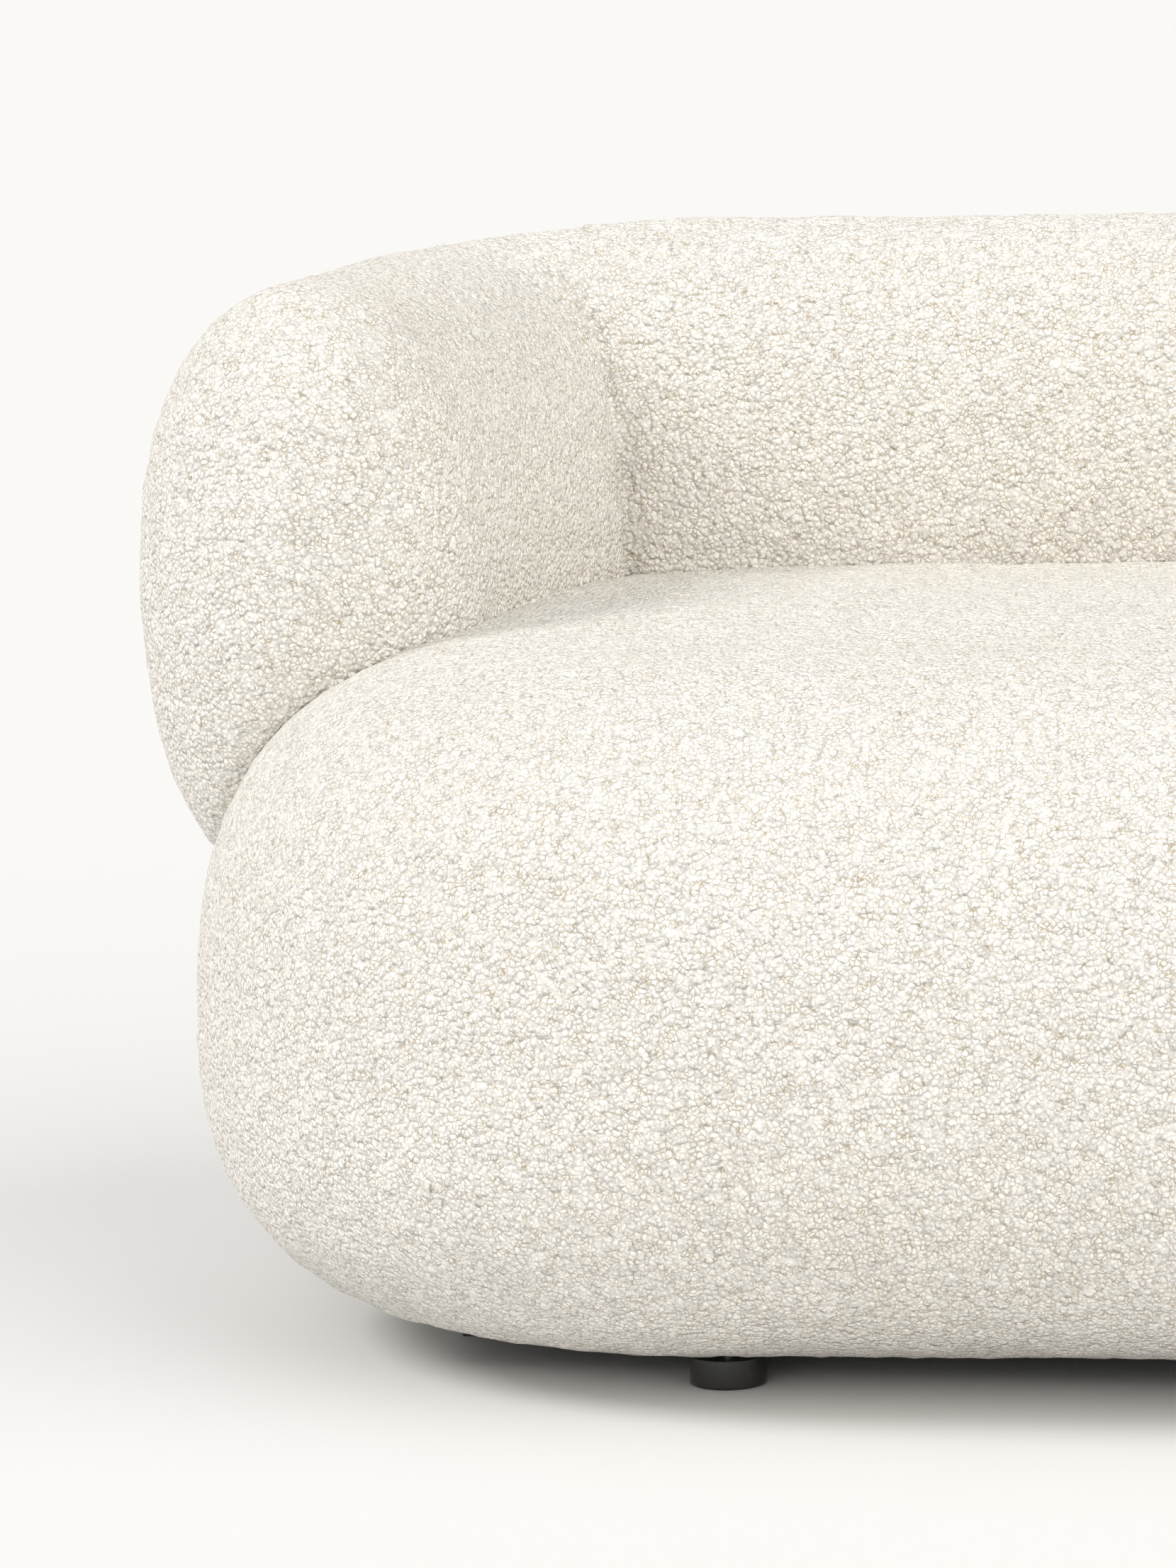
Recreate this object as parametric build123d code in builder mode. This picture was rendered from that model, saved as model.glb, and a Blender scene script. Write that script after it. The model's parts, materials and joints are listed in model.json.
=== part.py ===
"""Deep upholstered sofa: a rounded seat volume wrapped on three sides by one back-and-arm roll.

Millimetres, +Z up.  The origin is on the floor under the middle of the sofa, +X runs to the
right along its length and -Y is the front.  Each piece is written as one STEP file.
"""
from build123d import *
import os

# Overall sizes
SOFA_WIDTH = 2350
SOFA_HEIGHT = 699
REAR_Y = 480

# Seat volume
SEAT_WIDTH = 2232
SEAT_FRONT_Y = -480
SEAT_REAR_Y = 440
SEAT_BOTTOM = 20
SEAT_TOP = 472
SEAT_CORNER = 360
SEAT_LOWER_ROUND = 165
SEAT_UPPER_ROUND = 225

# Back-and-arm roll
ROLL_BOTTOM = 272
ROLL_THICK = 240
ROLL_CORNER = 360
ROLL_ROUND = 113
ROLL_END_CENTRE_Y = -30
INNER_CORNER_X = 873
INNER_CORNER_ROUND = 40

# Upholstery layers, outside to inside
COVER_THICK = 4
WADDING_THICK = 12
FOAM_INSET = COVER_THICK + WADDING_THICK
DUST_COVER_THICK = 1
DUST_COVER_INSET = 168
COVER_TURN_UNDER = 215

# Base frame
BOARD_TOP = 45
BOARD_RING_INSET = 230
RAIL_HALF_LENGTH = 998
RAIL_THICK = 28
RAIL_TOP = 215
FRONT_RAIL_Y = -360
REAR_RAIL_Y = 320
CROSS_RAIL_TOP = 185
LONG_RAIL_HALF_LENGTH = 842
SIDE_RAIL_FRONT_Y = -200
SIDE_RAIL_REAR_Y = 160
CROSS_RAIL_X = (-690, -260, 260, 690)
DOWEL_RADIUS = 4
DOWEL_LONG = 30
DOWEL_SHORT = 8
DOWEL_OFFSET = 14
DOWEL_HEIGHTS = (90, 160)

# Springs
SPRING_COUNT = 13
SPRING_PITCH = 132
SPRING_WIRE_RADIUS = 2
SPRING_LOOP_RADIUS = 13
SPRING_LOOP_WIDTH = 24
SPRING_LOOPS = 25
SPRING_PLANE = 219.5
CLIP_SIZE = (26, 22, 8)
CLIP_INSET = 14
FELT_BOTTOM = 224
DECK_TOP = 228

# Back and arm frame
PLATE_THICK = 18
LOWER_PLATE_BOTTOM = 480
UPPER_PLATE_BOTTOM = 616
PLATE_INSET = 64
CAVITY_INSET = 60
POST_WIDTH = 45
POST_THICK = 30
BACK_POST_X = (-640, -215, 215, 640)
ARM_POST_Y = (-10, 125)
BACK_RIB_X = (-428, 0, 428)
ARM_RIB_Y = 58
RIB_THICK = 18
STRAP_WIDTH = 60
STRAP_THICK = 2
STRAP_COUNT = 10
STRAP_PITCH = 145

# Post bolts
BOLT_RADIUS = 4
BOLT_BORE_RADIUS = 4.3
BOLT_HEAD_RADIUS = 10
BOLT_HEAD_THICK = 5
BOLT_HEIGHTS = (90, 170)
WASHER_RADIUS = 12
WASHER_THICK = 1.5
NUT_RADIUS = 7
NUT_THICK = 6.5

# Feet
FOOT_RADIUS = 25
FOOT_TOP = SEAT_BOTTOM - DUST_COVER_THICK
FOOT_EDGE_ROUND = 2
FOOT_X = (-738, 0, 738)
FOOT_FRONT_Y = -318
FOOT_REAR_Y = 278
GLIDE_RADIUS = 19
GLIDE_THICK = 3
HANGER_BOLT_BOTTOM = 8
HANGER_BOLT_TOP = 44
T_NUT_FLANGE_RADIUS = 12
T_NUT_FLANGE_THICK = 1.5
T_NUT_BARREL_RADIUS = 5.5
T_NUT_BARREL_LENGTH = 12

SEAT_CENTRE_Y = (SEAT_FRONT_Y + SEAT_REAR_Y) / 2
RAIL_INNER_X = RAIL_HALF_LENGTH - RAIL_THICK
FRONT_RAIL_INNER_Y = FRONT_RAIL_Y + RAIL_THICK
REAR_RAIL_INNER_Y = REAR_RAIL_Y - RAIL_THICK
SIDES = {"left": -1, "right": 1}


def save(part, node):
    """Label one finished piece and write its STEP file."""
    part.label = node
    export_step(part, f"parts/{node}.step")


def block(x_range, y_range, z_range):
    """A square-cut piece of timber between the given limits."""
    (x0, x1), (y0, y1), (z0, z1) = x_range, y_range, z_range
    with BuildPart() as timber:
        with BuildSketch(Plane.XY.offset(z0)):
            with Locations(((x0 + x1) / 2, (y0 + y1) / 2)):
                Rectangle(x1 - x0, y1 - y0)
        extrude(amount=z1 - z0)
    return timber.part


def cut(body, *tools):
    """`body` with every tool taken away from it."""
    with BuildPart() as rest:
        add(body)
        for tool in tools:
            add(tool, mode=Mode.SUBTRACT)
    return rest.part


def common(body, tool):
    """The part of `body` that lies inside `tool`."""
    with BuildPart() as shared:
        add(body)
        add(tool, mode=Mode.INTERSECT)
    return shared.part


def group(pieces):
    """Separate identical pieces that share one node."""
    return Compound(children=list(pieces))


# Envelopes: the layers are nested copies of these two volumes
def seat_volume(inset):
    """The seat's outer volume, pulled in by `inset` on every side."""
    with BuildPart() as volume:
        with BuildSketch(Plane.XY.offset(SEAT_BOTTOM + inset)):
            with Locations((0, SEAT_CENTRE_Y)):
                RectangleRounded(SEAT_WIDTH - 2 * inset, SEAT_REAR_Y - SEAT_FRONT_Y - 2 * inset,
                                 SEAT_CORNER - inset)
        extrude(amount=SEAT_TOP - SEAT_BOTTOM - 2 * inset)
        lower_edges = volume.faces().sort_by(Axis.Z)[0].edges()
        upper_edges = volume.faces().sort_by(Axis.Z)[-1].edges()
        fillet(lower_edges, SEAT_LOWER_ROUND - inset)
        fillet(upper_edges, SEAT_UPPER_ROUND - inset)
    return volume.part


def seat_slab(inset, z0, z1):
    """A flat slab with the seat's plan outline, pulled in by `inset`."""
    with BuildPart() as slab:
        with BuildSketch(Plane.XY.offset(z0)):
            with Locations((0, SEAT_CENTRE_Y)):
                RectangleRounded(SEAT_WIDTH - 2 * inset, SEAT_REAR_Y - SEAT_FRONT_Y - 2 * inset,
                                 SEAT_CORNER - inset)
        extrude(amount=z1 - z0)
    return slab.part


def roll_plan(inset):
    """The U-shaped plan of the back-and-arm roll, pulled in by `inset`."""
    outer_x = SOFA_WIDTH / 2
    end_radius = ROLL_THICK / 2
    arm_inner_x = outer_x - ROLL_THICK
    back_inner_y = REAR_Y - ROLL_THICK
    with BuildSketch() as plan:
        with BuildLine():
            Line((0, REAR_Y), (-outer_x + ROLL_CORNER, REAR_Y))
            CenterArc((-outer_x + ROLL_CORNER, REAR_Y - ROLL_CORNER), ROLL_CORNER, 90, 90)
            Line((-outer_x, REAR_Y - ROLL_CORNER), (-outer_x, ROLL_END_CENTRE_Y))
            CenterArc((-outer_x + end_radius, ROLL_END_CENTRE_Y), end_radius, 180, 180)
            Line((-arm_inner_x, ROLL_END_CENTRE_Y), (-INNER_CORNER_X, back_inner_y))
            Line((-INNER_CORNER_X, back_inner_y), (0, back_inner_y))
            mirror(about=Plane.YZ)
        make_face()
        inner_corners = [v for v in plan.vertices()
                         if abs(abs(v.X) - INNER_CORNER_X) < 1 and abs(v.Y - back_inner_y) < 1]
        fillet(inner_corners, INNER_CORNER_ROUND)
        if inset:
            offset(amount=-inset)
    return plan.sketch


def roll_slab(inset, z0, z1):
    """A flat slab with the roll's plan, pulled in by `inset`."""
    plan = roll_plan(inset)
    with BuildPart() as slab:
        with BuildSketch(Plane.XY.offset(z0)):
            add(plan)
        extrude(amount=z1 - z0)
    return slab.part


def roll_volume(inset):
    """The roll's outer volume, pulled in by `inset` on every side."""
    slab = roll_slab(inset, ROLL_BOTTOM + inset, SOFA_HEIGHT - inset)
    with BuildPart() as volume:
        add(slab)
        lower_edges = volume.faces().sort_by(Axis.Z)[0].edges()
        upper_edges = volume.faces().sort_by(Axis.Z)[-1].edges()
        fillet(lower_edges + upper_edges, ROLL_ROUND - inset)
    return volume.part


def arm_zone(side):
    """Prism over one arm, bounded by the mitre plane through the inner corner."""
    corner = Vector(INNER_CORNER_X, REAR_Y - ROLL_THICK)
    mitre = Vector(225, 135)
    far = corner + mitre * 3
    near = corner - mitre
    with BuildPart() as zone:
        with BuildSketch():
            with BuildLine():
                Polyline([(side * near.X, near.Y), (side * far.X, far.Y), (side * far.X, -400),
                          (side * near.X, -400)], close=True)
            make_face()
        extrude(amount=SOFA_HEIGHT + 100)
    return zone.part


# Feet and their fixings
def foot_places():
    """Name and plan position of each foot."""
    names = {-738: "left", 0: "middle", 738: "right"}
    for row, y in (("front", FOOT_FRONT_Y), ("rear", FOOT_REAR_Y)):
        for x in FOOT_X:
            yield f"{row}_{names[x]}", x, y


def turned(x, y, profile):
    """A disc stack turned about a vertical axis: (radius, z0, z1) for each step."""
    with BuildPart() as stack:
        for radius, z0, z1 in profile:
            with BuildSketch(Plane.XY.offset(z0)):
                with Locations((x, y)):
                    Circle(radius)
            extrude(amount=z1 - z0)
    return stack.part


def make_foot(x, y):
    """Short turned foot with a rounded rim, a recess for its glide and a bolt bore."""
    glide_recess = turned(x, y, [(GLIDE_RADIUS, 0, GLIDE_THICK)])
    bolt_bore = turned(x, y, [(BOLT_RADIUS, HANGER_BOLT_BOTTOM, FOOT_TOP)])
    with BuildPart() as foot:
        with BuildSketch():
            with Locations((x, y)):
                Circle(FOOT_RADIUS)
        extrude(amount=FOOT_TOP)
        fillet(foot.edges().filter_by(GeomType.CIRCLE).sort_by(Axis.Z)[0], FOOT_EDGE_ROUND)
        add(glide_recess, mode=Mode.SUBTRACT)
        add(bolt_bore, mode=Mode.SUBTRACT)
    return foot.part


places = list(foot_places())
hanger_bolts = [turned(x, y, [(BOLT_RADIUS, HANGER_BOLT_BOTTOM, HANGER_BOLT_TOP)])
                for _, x, y in places]
t_nuts = [cut(turned(x, y, [(T_NUT_BARREL_RADIUS, BOARD_TOP - T_NUT_BARREL_LENGTH, BOARD_TOP),
                            (T_NUT_FLANGE_RADIUS, BOARD_TOP, BOARD_TOP + T_NUT_FLANGE_THICK)]),
              turned(x, y, [(BOLT_RADIUS, BOARD_TOP - T_NUT_BARREL_LENGTH, HANGER_BOLT_TOP + 5)]))
          for _, x, y in places]
board_bores = [turned(x, y, [(BOLT_BORE_RADIUS, 0, BOARD_TOP),
                             (T_NUT_BARREL_RADIUS, BOARD_TOP - T_NUT_BARREL_LENGTH, BOARD_TOP)])
               for _, x, y in places]


# Base frame
def make_board():
    """Ring-shaped base board whose lower edge follows the rounded seat."""
    ring = common(seat_volume(COVER_THICK), block((-1200, 1200), (-500, 500), (0, BOARD_TOP)))
    window = seat_slab(BOARD_RING_INSET, 0, BOARD_TOP)
    return cut(ring, window, *board_bores)


def frame_prism(z0, z1):
    """The base frame's eight-sided outline between two heights."""
    corners = []
    for side, end in ((-1, -1), (1, -1), (1, 1), (-1, 1)):
        long_end = (side * LONG_RAIL_HALF_LENGTH, FRONT_RAIL_Y if end < 0 else REAR_RAIL_Y)
        side_end = (side * RAIL_HALF_LENGTH, SIDE_RAIL_FRONT_Y if end < 0 else SIDE_RAIL_REAR_Y)
        corners += [side_end, long_end] if side * end > 0 else [long_end, side_end]
    with BuildPart() as prism:
        with BuildSketch(Plane.XY.offset(z0)):
            with BuildLine():
                Polyline(corners, close=True)
            make_face()
        extrude(amount=z1 - z0)
    return prism.part


def corner_rail(side, end):
    """Slanted rail across one corner; `end` is -1 at the front, 1 at the rear."""
    outer_y, inner_y = (FRONT_RAIL_Y, FRONT_RAIL_INNER_Y) if end < 0 else (REAR_RAIL_Y, REAR_RAIL_INNER_Y)
    side_y = SIDE_RAIL_FRONT_Y if end < 0 else SIDE_RAIL_REAR_Y
    with BuildPart() as rail:
        with BuildSketch(Plane.XY.offset(BOARD_TOP)):
            with BuildLine():
                Polyline([(side * LONG_RAIL_HALF_LENGTH, outer_y), (side * RAIL_HALF_LENGTH, side_y),
                          (side * RAIL_INNER_X, side_y), (side * LONG_RAIL_HALF_LENGTH, inner_y)],
                         close=True)
            make_face()
        extrude(amount=RAIL_TOP - BOARD_TOP)
    return rail.part


def rod(origin, direction, steps):
    """Coaxial discs along `direction` from `origin`: (radius, start, end) for each step."""
    with BuildPart() as stack:
        for radius, start, end in steps:
            plane = Plane(origin=Vector(origin) + Vector(direction) * start, z_dir=direction)
            with BuildSketch(plane):
                Circle(radius)
            extrude(amount=end - start)
    return stack.part


def corner_dowels(side, end):
    """Dowels across both joints of one corner rail."""
    long_y = FRONT_RAIL_Y + DOWEL_OFFSET if end < 0 else REAR_RAIL_Y - DOWEL_OFFSET
    side_y = SIDE_RAIL_FRONT_Y if end < 0 else SIDE_RAIL_REAR_Y
    long_x = side * LONG_RAIL_HALF_LENGTH
    side_x = side * (RAIL_HALF_LENGTH - DOWEL_OFFSET)
    steps = [(DOWEL_RADIUS, -DOWEL_LONG, DOWEL_SHORT)]
    for z in DOWEL_HEIGHTS:
        yield rod((long_x, long_y, z), (side, 0, 0), steps)
        yield rod((side_x, side_y, z), (0, end, 0), steps)


# Springs
def make_spring(x):
    """One sinuous spring from rail to rail: cross runs joined by half turns."""
    half = SPRING_LOOP_WIDTH / 2
    first_y = SEAT_CENTRE_Y - SPRING_LOOPS * SPRING_LOOP_RADIUS
    with BuildPart() as spring:
        with BuildLine(Plane.XY.offset(SPRING_PLANE)) as path:
            for loop in range(SPRING_LOOPS):
                y = first_y + 2 * SPRING_LOOP_RADIUS * loop
                way = 1 if loop % 2 == 0 else -1
                Line((x - way * half, y), (x + way * half, y))
                CenterArc((x + way * half, y + SPRING_LOOP_RADIUS), SPRING_LOOP_RADIUS, -90, way * 180)
            last_y = first_y + 2 * SPRING_LOOP_RADIUS * SPRING_LOOPS
            way = 1 if SPRING_LOOPS % 2 == 0 else -1
            Line((x - way * half, last_y), (x + way * half, last_y))
        with BuildSketch(Plane(origin=path.wire() @ 0, z_dir=path.wire() % 0)):
            Circle(SPRING_WIRE_RADIUS)
        sweep()
    return spring.part


def make_clip(x, y):
    """Folded clip that holds a spring's end run down on its rail."""
    length, depth, height = CLIP_SIZE
    with BuildPart() as clip:
        with BuildSketch(Plane.XY.offset(RAIL_TOP)):
            with Locations((x, y)):
                Rectangle(length, depth)
        extrude(amount=height)
        with BuildSketch(Plane.YZ.offset(x - length)):
            with Locations((y, SPRING_PLANE)):
                SlotOverall(depth * 0.7, 2 * SPRING_WIRE_RADIUS + 0.6)
        extrude(amount=2 * length, mode=Mode.SUBTRACT)
    return clip.part


spring_x = [(i - (SPRING_COUNT - 1) / 2) * SPRING_PITCH for i in range(SPRING_COUNT)]
spring_end_y = SPRING_LOOPS * SPRING_LOOP_RADIUS


# Back and arm frame
def back_post(x):
    """Upright behind the rear rail."""
    return block((x - POST_WIDTH / 2, x + POST_WIDTH / 2), (REAR_RAIL_Y, REAR_RAIL_Y + POST_THICK),
                 (BOARD_TOP, UPPER_PLATE_BOTTOM))


def arm_post(side, y):
    """Upright outside a side rail."""
    x_range = sorted((side * RAIL_HALF_LENGTH, side * (RAIL_HALF_LENGTH + POST_THICK)))
    return block(x_range, (y - POST_WIDTH / 2, y + POST_WIDTH / 2), (BOARD_TOP, UPPER_PLATE_BOTTOM))


def bolt_lines():
    """Origin (on the post's outer face) and outward direction of every post bolt."""
    for z in BOLT_HEIGHTS:
        for x in BACK_POST_X:
            yield (x, REAR_RAIL_Y + POST_THICK, z), (0, 1, 0)
        for side in SIDES.values():
            for y in ARM_POST_Y:
                yield (side * (RAIL_HALF_LENGTH + POST_THICK), y, z), (side, 0, 0)


def bolt_set():
    """Bolts, washers, nuts and the bores they need, along every bolt line."""
    grip = POST_THICK + RAIL_THICK
    bolts, washers, nuts, bores = [], [], [], []
    for origin, way in bolt_lines():
        shank = (BOLT_RADIUS, -grip - WASHER_THICK - NUT_THICK, -BOLT_HEAD_THICK)
        head = (BOLT_HEAD_RADIUS, -BOLT_HEAD_THICK, 0)
        bolts.append(rod(origin, way, [shank, head]))
        bore = [(BOLT_BORE_RADIUS, -grip - 20, 0), (BOLT_HEAD_RADIUS, -BOLT_HEAD_THICK, 0)]
        bores.append(rod(origin, way, bore))
        shaft = rod(origin, way, [(BOLT_RADIUS, -grip - 20, 0)])
        washers.append(cut(rod(origin, way, [(WASHER_RADIUS, -grip - WASHER_THICK, -grip)]), shaft))
        nut_range = (NUT_RADIUS, -grip - WASHER_THICK - NUT_THICK, -grip - WASHER_THICK)
        nuts.append(cut(rod(origin, way, [nut_range]), shaft))
    return bolts, washers, nuts, bores


bolts, washers, nuts, bolt_bores = bolt_set()
back_posts = [back_post(x) for x in BACK_POST_X]
arm_posts = {side: [arm_post(sign, y) for y in ARM_POST_Y] for side, sign in SIDES.items()}
all_posts = back_posts + arm_posts["left"] + arm_posts["right"]
cavity = roll_slab(CAVITY_INSET, LOWER_PLATE_BOTTOM, UPPER_PLATE_BOTTOM + PLATE_THICK)
seat_shell = seat_volume(0)
zones = {side: arm_zone(sign) for side, sign in SIDES.items()}


def save_in_zones(body, layer):
    """Split one layer of the roll at the mitres and save its three pieces."""
    save(cut(body, *zones.values()), f"back_{layer}")
    for side, zone in zones.items():
        save(common(body, zone), f"{side}_arm_{layer}")


def save_feet():
    for name, x, y in places:
        save(make_foot(x, y), f"foot_{name}")
    save(group(turned(x, y, [(GLIDE_RADIUS, 0, GLIDE_THICK)]) for _, x, y in places), "foot_glides")
    save(group(hanger_bolts), "foot_bolts")
    save(group(t_nuts), "foot_t_nuts")


def save_base():
    rail_x = (-LONG_RAIL_HALF_LENGTH, LONG_RAIL_HALF_LENGTH)
    rail_z = (BOARD_TOP, RAIL_TOP)
    corners = [(side, end) for side in SIDES.values() for end in (-1, 1)]
    dowels = [dowel for side, end in corners for dowel in corner_dowels(side, end)]
    save(make_board(), "base_board")
    save(cut(block(rail_x, (FRONT_RAIL_Y, FRONT_RAIL_INNER_Y), rail_z), *dowels), "base_front_rail")
    save(cut(block(rail_x, (REAR_RAIL_INNER_Y, REAR_RAIL_Y), rail_z), *dowels, *bolt_bores),
         "base_rear_rail")
    for side, sign in SIDES.items():
        x_range = sorted((sign * RAIL_INNER_X, sign * RAIL_HALF_LENGTH))
        rail = block(x_range, (SIDE_RAIL_FRONT_Y, SIDE_RAIL_REAR_Y), rail_z)
        save(cut(rail, *dowels, *bolt_bores), f"base_{side}_rail")
        for end, end_name in ((-1, "front"), (1, "rear")):
            save(cut(corner_rail(sign, end), *dowels), f"base_corner_rail_{end_name}_{side}")
    for number, x in enumerate(CROSS_RAIL_X, start=1):
        cross = block((x - RAIL_THICK / 2, x + RAIL_THICK / 2),
                      (FRONT_RAIL_INNER_Y, REAR_RAIL_INNER_Y), (BOARD_TOP, CROSS_RAIL_TOP))
        save(cross, f"base_cross_rail_{number}")
    save(group(dowels), "corner_dowels")


def save_springs():
    clip_rows = [SEAT_CENTRE_Y - spring_end_y, SEAT_CENTRE_Y + spring_end_y]
    save(group(make_spring(x) for x in spring_x), "seat_springs")
    save(group(make_clip(x, y) for x in spring_x for y in clip_rows), "spring_clips")
    save(frame_prism(FELT_BOTTOM, DECK_TOP), "spring_felt")


def save_back_frame():
    for number, post in enumerate(back_posts, start=1):
        save(cut(post, *bolt_bores), f"back_post_{number}")
    for side, posts in arm_posts.items():
        for place, post in zip(("front", "rear"), posts):
            save(cut(post, *bolt_bores), f"{side}_arm_{place}_post")
    lower = cut(roll_slab(PLATE_INSET, LOWER_PLATE_BOTTOM, LOWER_PLATE_BOTTOM + PLATE_THICK), *all_posts)
    upper = roll_slab(PLATE_INSET, UPPER_PLATE_BOTTOM, UPPER_PLATE_BOTTOM + PLATE_THICK)
    save_in_zones(lower, "lower_plate")
    save_in_zones(upper, "upper_plate")
    rib_z = (LOWER_PLATE_BOTTOM + PLATE_THICK, UPPER_PLATE_BOTTOM)
    back_y = (REAR_Y - ROLL_THICK + PLATE_INSET, REAR_Y - PLATE_INSET)
    ribs = [block((x - RIB_THICK / 2, x + RIB_THICK / 2), back_y, rib_z) for x in BACK_RIB_X]
    save(group(ribs), "back_ribs")
    arm_ribs = []
    for sign in SIDES.values():
        x_range = sorted((sign * (SOFA_WIDTH / 2 - PLATE_INSET), sign * (RAIL_HALF_LENGTH - 10)))
        arm_ribs.append(block(x_range, (ARM_RIB_Y - RIB_THICK / 2, ARM_RIB_Y + RIB_THICK / 2), rib_z))
    save(group(arm_ribs), "arm_ribs")
    strap_y = REAR_Y - ROLL_THICK + PLATE_INSET
    strap_z = (LOWER_PLATE_BOTTOM + 2, UPPER_PLATE_BOTTOM + PLATE_THICK - 2)
    strap_x = [(i - (STRAP_COUNT - 1) / 2) * STRAP_PITCH for i in range(STRAP_COUNT)]
    save(group(block((x - STRAP_WIDTH / 2, x + STRAP_WIDTH / 2), (strap_y - STRAP_THICK, strap_y),
                     strap_z) for x in strap_x), "back_webbing")
    save(group(bolts), "post_bolts")
    save(group(washers), "post_washers")
    save(group(nuts), "post_nuts")


def save_seat_upholstery():
    foam = seat_volume(FOAM_INSET)
    deck_space = block((-1200, 1200), (-500, 500), (DECK_TOP, SOFA_HEIGHT))
    board_space = block((-1200, 1200), (-500, 500), (0, BOARD_TOP))
    frame_space = frame_prism(0, DECK_TOP)
    save(cut(common(foam, deck_space), *all_posts), "seat_foam_core")
    save(cut(foam, deck_space, board_space, frame_space, *all_posts), "seat_foam_surround")
    wadding = cut(seat_volume(COVER_THICK), foam, board_space, frame_space, *all_posts)
    save(wadding, "seat_wadding")
    window = seat_slab(COVER_TURN_UNDER, 0, SEAT_BOTTOM + COVER_THICK)
    bores = [turned(x, y, [(BOLT_BORE_RADIUS, 0, BOARD_TOP)]) for _, x, y in places]
    save(cut(seat_shell, seat_volume(COVER_THICK), window, *bores, *all_posts), "seat_cover")
    dust_cover = seat_slab(DUST_COVER_INSET, FOOT_TOP, SEAT_BOTTOM)
    save(cut(dust_cover, *bores), "dust_cover")


def save_roll_upholstery():
    foam = roll_volume(FOAM_INSET)
    under_cover = roll_volume(COVER_THICK)
    save_in_zones(cut(foam, seat_shell, cavity, *all_posts), "foam")
    save_in_zones(cut(under_cover, foam, seat_shell), "wadding")
    save_in_zones(cut(roll_volume(0), under_cover, seat_shell), "cover")


os.makedirs("parts", exist_ok=True)
save_feet()
save_base()
save_springs()
save_back_frame()
save_seat_upholstery()
save_roll_upholstery()
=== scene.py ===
"""Looks of the sofa: padded boucle skins, their inner layers, the underside cloth and materials.

Metres, +Z up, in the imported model's frame: the origin is on the floor under the sofa's middle
and -Y is the front.
"""
import json
import math

import bmesh
import bpy
import numpy as np
from mathutils import Matrix, Vector


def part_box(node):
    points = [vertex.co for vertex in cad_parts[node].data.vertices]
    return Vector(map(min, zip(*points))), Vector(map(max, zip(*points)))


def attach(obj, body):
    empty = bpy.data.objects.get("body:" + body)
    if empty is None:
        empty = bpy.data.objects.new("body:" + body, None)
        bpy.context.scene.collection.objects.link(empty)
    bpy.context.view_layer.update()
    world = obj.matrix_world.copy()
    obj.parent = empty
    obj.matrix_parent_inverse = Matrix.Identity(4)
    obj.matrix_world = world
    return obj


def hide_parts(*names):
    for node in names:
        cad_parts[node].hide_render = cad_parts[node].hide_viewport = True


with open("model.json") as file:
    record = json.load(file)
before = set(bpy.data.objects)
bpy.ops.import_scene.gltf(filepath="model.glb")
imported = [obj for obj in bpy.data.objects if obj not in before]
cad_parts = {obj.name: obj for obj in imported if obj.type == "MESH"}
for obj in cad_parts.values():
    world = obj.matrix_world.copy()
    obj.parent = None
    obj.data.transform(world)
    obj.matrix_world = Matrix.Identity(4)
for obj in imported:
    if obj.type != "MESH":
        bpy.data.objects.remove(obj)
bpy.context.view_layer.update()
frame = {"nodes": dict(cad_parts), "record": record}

SEED = 20

# Grid spacing of the skins before they are subdivided
CELL = 0.024

# Seat skin: the plan outline is a rounded rectangle, the side is two superellipse quarters
SEAT_LOW, SEAT_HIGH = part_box("seat_cover")
SEAT_CORNER = 0.360
SEAT_LOWER_ROUND = 0.182
SEAT_LOWER_POWER = 2.3
SEAT_UPPER_ROUND = 0.262
SEAT_UPPER_POWER = 2.75
SEAT_CROWN = 0.010
SEAT_TURN_UNDER = 0.215
SEAT_BELLY_LIFT = 0.003
SEAT_BELLY_REACH = 0.75

# Back-and-arm roll: upright superellipse sections swept round a U
ROLL_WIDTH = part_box("left_arm_cover")[0].x
REAR_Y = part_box("back_cover")[1].y
ROLL_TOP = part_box("back_cover")[1].z
ROLL_BOTTOM = 0.272
ROLL_THICK = 0.240
ROLL_CORNER = 0.360
ROLL_POWER = 2.2
ROLL_END_Y = -0.030
ARM_TOP_DROP = 0.010
ARM_BOTTOM_SHARE = 0.4
INNER_CORNER_X = -0.886
INNER_CORNER_ROUND = 0.004
CONTACT_PRESS = 0.004

# Seam of the left inner corner: its way in plan, its groove, and the heights where it fades out
SEAM_WAY = (-0.825, 0.565)
SEAM_REACH = 0.11
SEAM_DEPTH = 0.005
SEAM_HALF_WIDTH = 0.006
SEAM_FADE = (0.610, 0.685)

# Simulated padding: how far each skin may swell, and where the cover is held meanwhile
SEAT_SWELL = 0.004
ROLL_SWELL = 0.003
HELD_REAR_Y = 0.30
HELD_SIDE_X = 1.0
HELD_SIDE_Y = 0.05
HELD_EDGE = 0.012
HELD_VALLEY = 0.03

# Relief of the stuffed boucle: (height, width) of its lumps
RELIEF = ((0.0016, 0.210), (0.0010, 0.075), (0.0006, 0.028), (0.0011, 0.012))

# Camera: place, then its turn to the left, its look down and its tilt in degrees, and the lens in mm
CAMERA_PLACE = (0.020, -5.080, 1.100)
CAMERA_ANGLES = (10, 8.36, 1.5)
CAMERA_LENS = 175.9

# Below this height the seat's cover lies on the base board
UNDERSIDE_TOP = 0.055

# Layers under the skin, measured inwards from it
WADDING_INSET = 0.0075
FOAM_INSET = 0.018


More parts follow.
